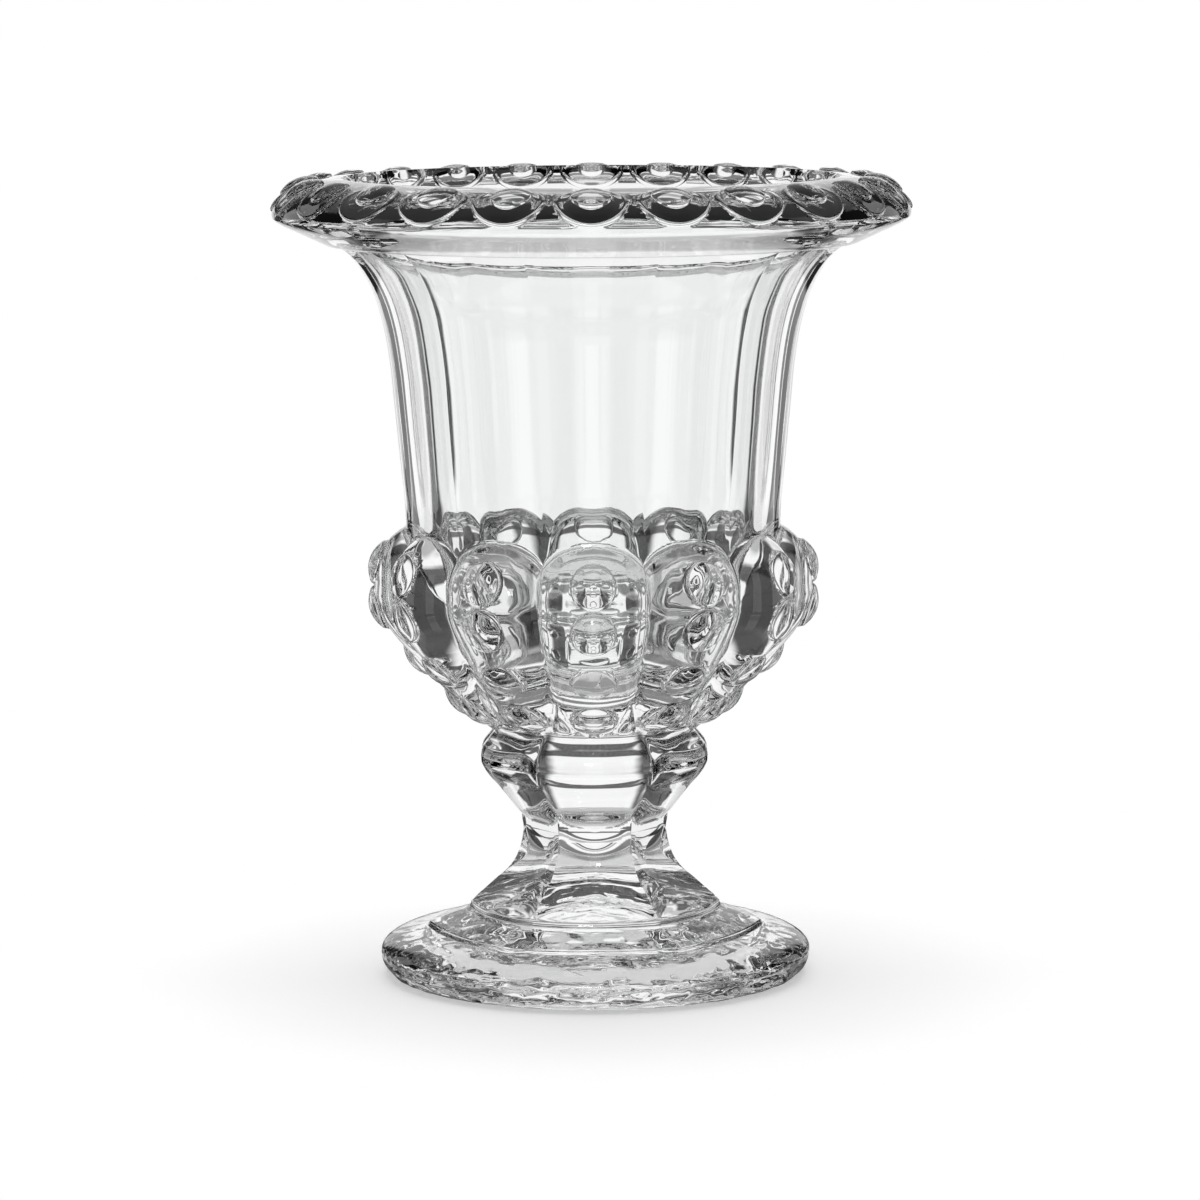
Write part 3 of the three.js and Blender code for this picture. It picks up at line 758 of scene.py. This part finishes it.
class VASE_OT_studio(bpy.types.Operator):
    """Set the white table, the tent of cards, the soft lamps and the camera"""

    bl_idname = "vase.studio"
    bl_label = "Set up the studio"

    def execute(self, context):
        around = tent()
        self.table(around)
        self.world(context, around)
        self.lamps()
        self.camera(context)
        scene = context.scene
        scene.view_settings.view_transform = "Standard"
        scene.cycles.max_bounces = GLASS_BOUNCES
        scene.cycles.transmission_bounces = GLASS_BOUNCES
        scene.cycles.glossy_bounces = GLINT_BOUNCES
        return {"FINISHED"}

    def table(self, around):
        """White table top; it keeps the soft shadow near the vase and turns plain white further out. To the glass's
        rays it shows painted caustic light and painted contact shadow in rings, and further out the tent's cards and
        dark gaps painted on it.
        """
        clear_selection()
        bpy.ops.mesh.primitive_circle_add(
            vertices=96, radius=TABLE_RADIUS, fill_type="NGON", location=(0, 0, -0.2 * MM))
        bpy.ops.object.transform_apply(location=True, rotation=False, scale=False)
        obj = bpy.context.object
        obj.name = "white_table"
        material, nodes, links = new_material("white_table")
        place = nodes.new("ShaderNodeTexCoord")
        reach = nodes.new("ShaderNodeVectorMath")
        reach.operation = "LENGTH"
        links.new(place.outputs["Object"], reach.inputs[0])
        tented = nodes.new("ShaderNodeGroup")
        tented.node_tree = around
        links.new(place.outputs["Object"], tented.inputs["Direction"])
        far = fade(nodes, links, reach.outputs["Value"], TABLE_NEAR, TABLE_FAR)
        # Painted caustic light and painted contact shadow, as rings round the axis that only the glass's rays see
        share = maths(nodes, links, "DIVIDE", reach.outputs["Value"], TABLE_PAINTED_LIGHT_RINGS_TOP)
        painted_light_rings = ramp(nodes, links, share, TABLE_PAINTED_LIGHT_RINGS, TABLE_PAINTED_LIGHT_RINGS_TOP)

        def blend(factor, first, second):
            node = nodes.new("ShaderNodeMix")
            node.data_type = "FLOAT"
            for name, value in (("Factor", factor), ("A", first), ("B", second)):
                socket = node.inputs[name]
                if isinstance(value, float):
                    socket.default_value = value
                else:
                    links.new(value, socket)
            return node.outputs["Result"]

        path = nodes.new("ShaderNodeLightPath")
        seen = path.outputs["Is Camera Ray"]
        outer = nodes.new("ShaderNodeEmission")
        # Further out the glass sees the painted rings times the tent's cards and dark gaps, painted on the table;
        # the camera sees plain white
        painted_rings_in_tent = maths(nodes, links, "MULTIPLY", painted_light_rings, tented.outputs["Light"])
        links.new(blend(seen, painted_rings_in_tent, 1.0), outer.inputs["Color"])
        matt = nodes.new("ShaderNodeBsdfDiffuse")
        glow = nodes.new("ShaderNodeEmission")
        glow.inputs["Strength"].default_value = TABLE_GLOW
        # The glow and the matt colour carry the painted rings of light and shade for the glass; the camera sees an
        # even white
        links.new(blend(seen, painted_light_rings, TABLE_GLOW_SEEN), glow.inputs["Color"])
        links.new(blend(seen, painted_light_rings, 1.0), matt.inputs["Color"])
        inner = nodes.new("ShaderNodeAddShader")
        both = nodes.new("ShaderNodeMixShader")
        out = nodes.new("ShaderNodeOutputMaterial")
        links.new(matt.outputs["BSDF"], inner.inputs[0])
        links.new(glow.outputs["Emission"], inner.inputs[1])
        links.new(far, both.inputs["Fac"])
        links.new(inner.outputs["Shader"], both.inputs[1])
        links.new(outer.outputs["Emission"], both.inputs[2])
        links.new(both.outputs["Shader"], out.inputs["Surface"])
        obj.data.materials.append(material)

    def lamp(self, name, place, aim, size, power):
        data = bpy.data.lights.new(name, "AREA")
        data.shape = "RECTANGLE"
        data.size, data.size_y = size
        data.energy = power
        obj = bpy.data.objects.new(name, data)
        bpy.context.scene.collection.objects.link(obj)
        obj.location = place
        obj.rotation_euler = (Vector(aim) - Vector(place)).to_track_quat("-Z", "Y").to_euler()
        return obj

    def lamps(self):
        top = self.lamp("soft_top", (0, 0.1, 2.0), (0, 0.1, 0), (1.5, 1.5), 21)
        top.visible_glossy = False
        top.visible_transmission = False
        window = self.lamp("window", (-0.175, -1.62, 0.52), (0, 0, 0.17), (0.27, 0.36), 2.7)
        window.visible_transmission = False

    def camera(self, context):
        data = bpy.data.cameras.new("camera")
        data.lens = 151.6
        data.sensor_width = 36
        data.clip_start = 0.05
        obj = bpy.data.objects.new("camera", data)
        context.scene.collection.objects.link(obj)
        eye = Vector((0.002, -1.56, 0.321))
        target = Vector((0.002, 0, 0.1172))
        turn = (target - eye).to_track_quat("-Z", "Y")
        roll = Quaternion((0, 0, 1), math.radians(-0.3))
        obj.location = eye
        obj.rotation_euler = (turn @ roll).to_euler()
        context.scene.camera = obj

    def world(self, context, around):
        world = bpy.data.worlds.new("studio_tent")
        context.scene.world = world
        world.use_nodes = True
        nodes, links = world.node_tree.nodes, world.node_tree.links
        nodes.clear()
        place = nodes.new("ShaderNodeTexCoord")
        tented = nodes.new("ShaderNodeGroup")
        tented.node_tree = around
        path = nodes.new("ShaderNodeLightPath")
        plain = nodes.new("ShaderNodeMix")
        plain.data_type = "FLOAT"
        plain.inputs["B"].default_value = 1.0
        air = nodes.new("ShaderNodeBackground")
        out = nodes.new("ShaderNodeOutputWorld")
        links.new(place.outputs["Generated"], tented.inputs["Direction"])
        links.new(path.outputs["Is Camera Ray"], plain.inputs["Factor"])
        links.new(tented.outputs["Light"], plain.inputs["A"])
        links.new(plain.outputs["Result"], air.inputs["Color"])
        links.new(air.outputs["Background"], out.inputs["Surface"])


class VASE_PT_panel(bpy.types.Panel):
    """Sidebar panel with the sizes and the steps of the work"""

    bl_idname = "VASE_PT_panel"
    bl_label = "Crystal urn vase"
    bl_space_type = "VIEW_3D"
    bl_region_type = "UI"
    bl_category = "Vase"

    def draw(self, context):
        layout = self.layout
        sizes = context.scene.vase_sizes
        for name in VaseSizes.__annotations__:
            layout.prop(sizes, name)
        layout.operator("vase.glass")
        layout.operator("vase.studio")


CLASSES = (VaseSizes, VASE_OT_glass, VASE_OT_studio, VASE_PT_panel)


def register():
    for cls in CLASSES:
        bpy.utils.register_class(cls)
    bpy.types.Scene.vase_sizes = PointerProperty(type=VaseSizes)


def unregister():
    del bpy.types.Scene.vase_sizes
    for cls in reversed(CLASSES):
        bpy.utils.unregister_class(cls)


def main():
    register()
    bpy.ops.vase.glass()
    bpy.ops.vase.studio()


if __name__ == "__main__":
    main()
